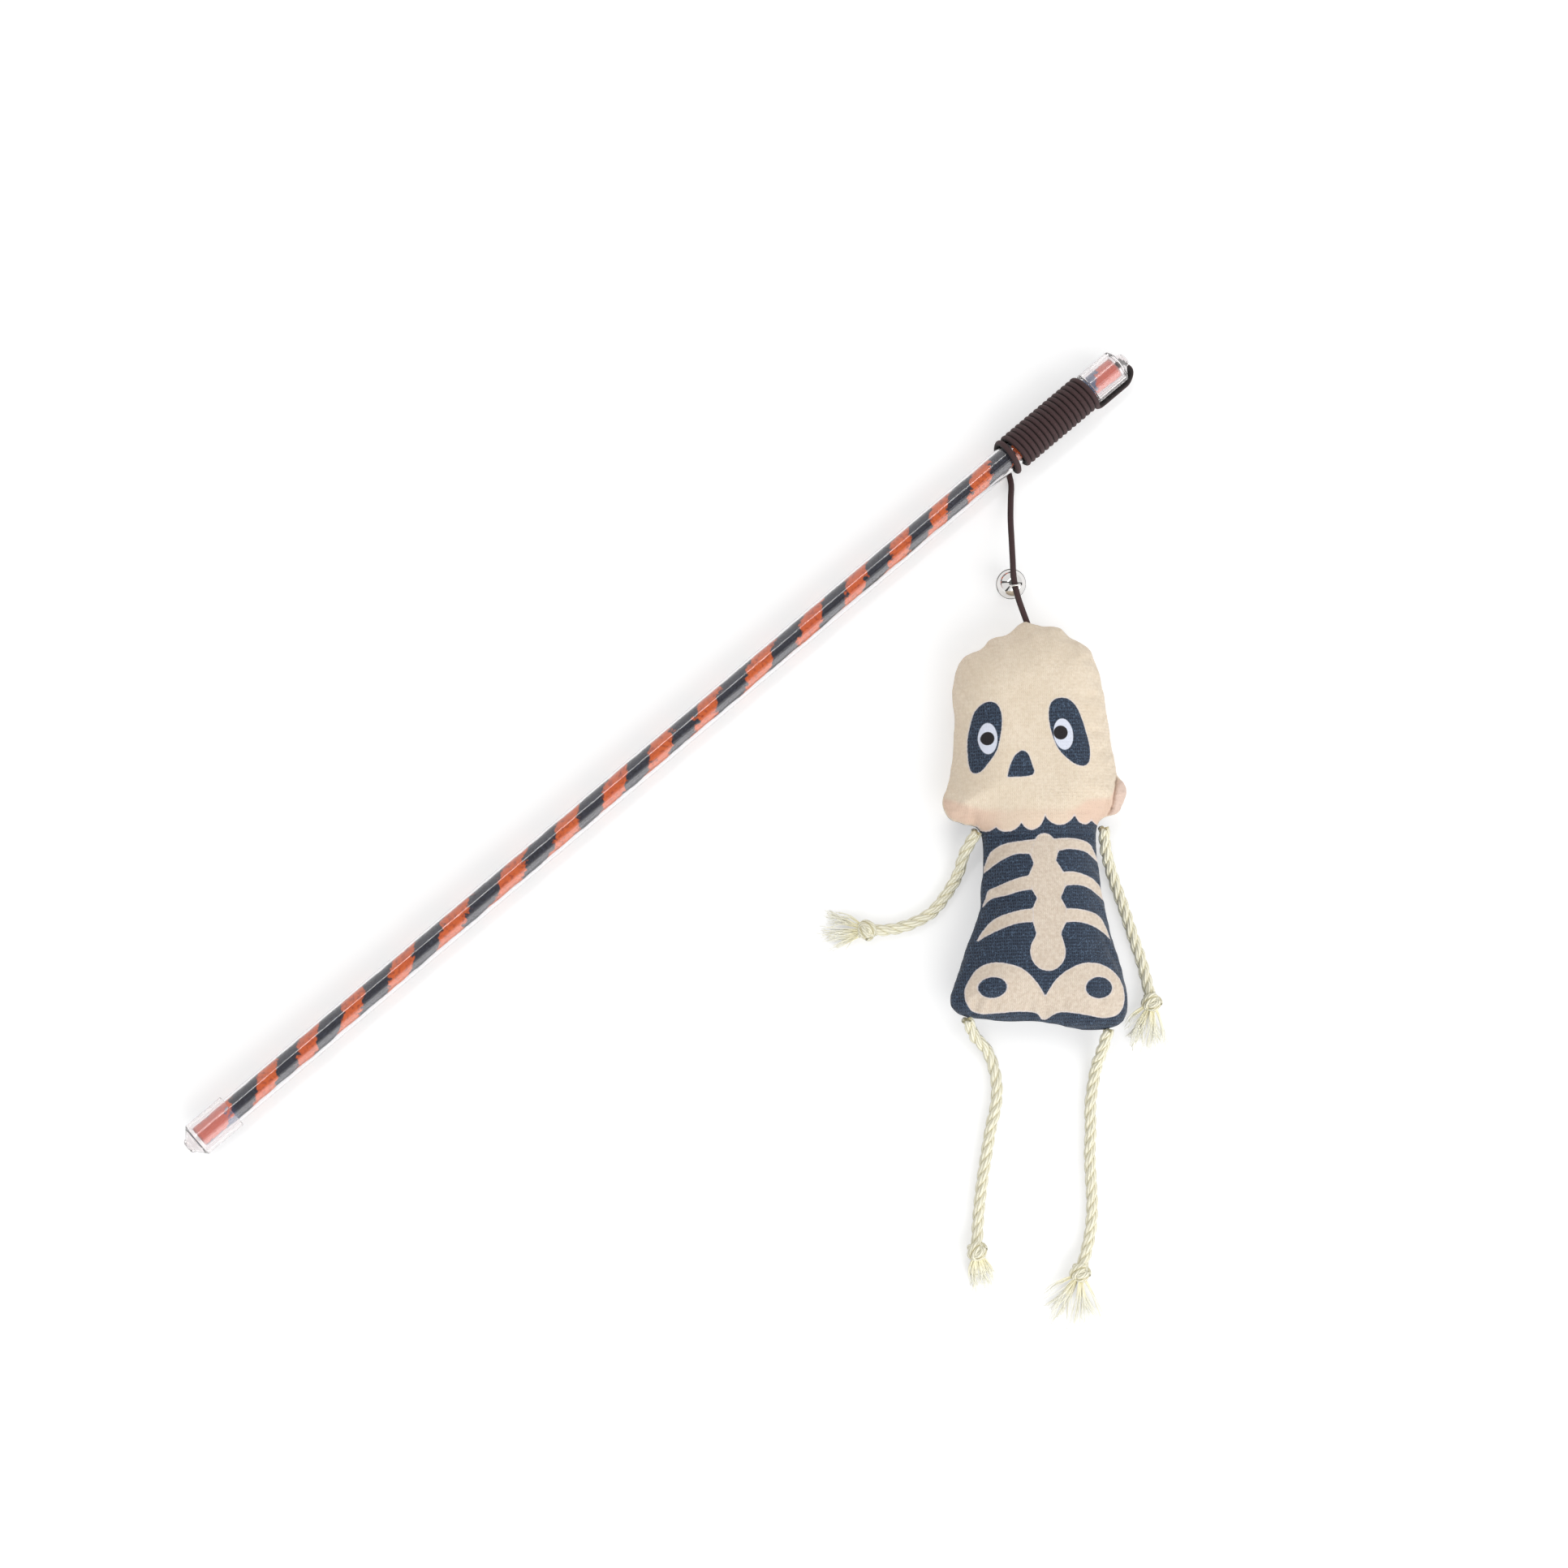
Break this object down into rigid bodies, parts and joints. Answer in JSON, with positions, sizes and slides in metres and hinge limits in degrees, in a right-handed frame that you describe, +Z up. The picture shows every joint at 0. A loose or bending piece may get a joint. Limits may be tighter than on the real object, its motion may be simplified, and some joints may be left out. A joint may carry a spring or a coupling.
{
  "type": "cat teaser wand",
  "caption": "Clear cat teaser wand with a plush strip inside it, an elastic cord wound on its tip, and a jingle bell and a stuffed rope-limbed skeleton doll on the cord.",
  "frame": {"origin": "butt end of the clear tube, on its axis", "axes": "+X along the wand from its butt to its tip, +Z up from the surface it lies on"},
  "size_m": [0.3999, 0.2391, 0.021],
  "materials": {
    "clear_plastic": "clear gloss",
    "plush": "short printed pile",
    "elastic": "braided elastic cord",
    "bell_metal": "bright nickel plate",
    "clapper_steel": "plain",
    "doll_fabric": "printed velour",
    "stuffing": "loose fibre",
    "cotton_rope": "twisted cotton"
  },
  "bodies": {
    "wand": {"clear_tube": "clear_plastic", "plush_strip": "plush", "butt_cap": "clear_plastic", "tip_cap": "clear_plastic", "tip_knot": "elastic", "cord_winding": "elastic"},
    "cord": {"lure_cord": "elastic"},
    "doll_head": {"head_front": "doll_fabric", "head_back": "doll_fabric", "head_stuffing": "stuffing"},
    "doll_body": {"body_front": "doll_fabric", "body_back": "doll_fabric", "body_stuffing": "stuffing"},
    "bell": {"bell_upper": "bell_metal", "bell_lower": "bell_metal", "bell_eye": "bell_metal"},
    "clapper": {"bell_clapper": "clapper_steel"},
    "left_arm": {"left_arm_rope": "cotton_rope", "left_arm_knot": "cotton_rope"},
    "right_arm": {"right_arm_rope": "cotton_rope", "right_arm_knot": "cotton_rope"},
    "left_leg": {"left_leg_rope": "cotton_rope", "left_leg_knot": "cotton_rope"},
    "right_leg": {"right_leg_rope": "cotton_rope", "right_leg_knot": "cotton_rope"}
  },
  "joints": [
    {"name": "cord_swing", "type": "hinge", "parent": "wand", "child": "cord", "pos_m": [0.3411, -0.0039, -0.0055], "axis": [0, 0, 1], "range_deg": [-8, 60]},
    {"name": "doll_swing", "type": "hinge", "parent": "cord", "child": "doll_head", "pos_m": [0.3116, -0.044, 0.0025], "axis": [0, 0, 1], "range_deg": [-10, 50]},
    {"name": "neck_fold", "type": "hinge", "parent": "doll_head", "child": "doll_body", "pos_m": [0.2683, -0.09747, 0.0025], "axis": [-0.7771, 0.6293, 0], "range_deg": [-10, 45]},
    {"name": "left_arm_swing", "type": "hinge", "parent": "doll_body", "child": "left_arm", "pos_m": [0.25165, -0.08714, 0.0025], "axis": [0, 0, 1], "range_deg": [-35, 10]},
    {"name": "right_arm_swing", "type": "hinge", "parent": "doll_body", "child": "right_arm", "pos_m": [0.2853, -0.11397, 0.0025], "axis": [0, 0, 1], "range_deg": [-2, 60]},
    {"name": "left_leg_swing", "type": "hinge", "parent": "doll_body", "child": "left_leg", "pos_m": [0.21043, -0.13174, 0.0025], "axis": [0, 0, 1], "range_deg": [-25, 3]},
    {"name": "right_leg_swing", "type": "hinge", "parent": "doll_body", "child": "right_leg", "pos_m": [0.2429, -0.16397, 0.0025], "axis": [0, 0, 1], "range_deg": [-3, 25]},
    {"name": "bell_swing", "type": "hinge", "parent": "cord", "child": "bell", "pos_m": [0.3156, -0.0335, 0.0048], "axis": [-0.5047, -0.8633, 0], "range_deg": [-60, 60]},
    {"name": "clapper_roll", "type": "hinge", "parent": "bell", "child": "clapper", "pos_m": [0.31626, -0.03237, -0.00136], "axis": [-0.5047, -0.8633, 0], "range_deg": [-60, 60]}
  ]
}
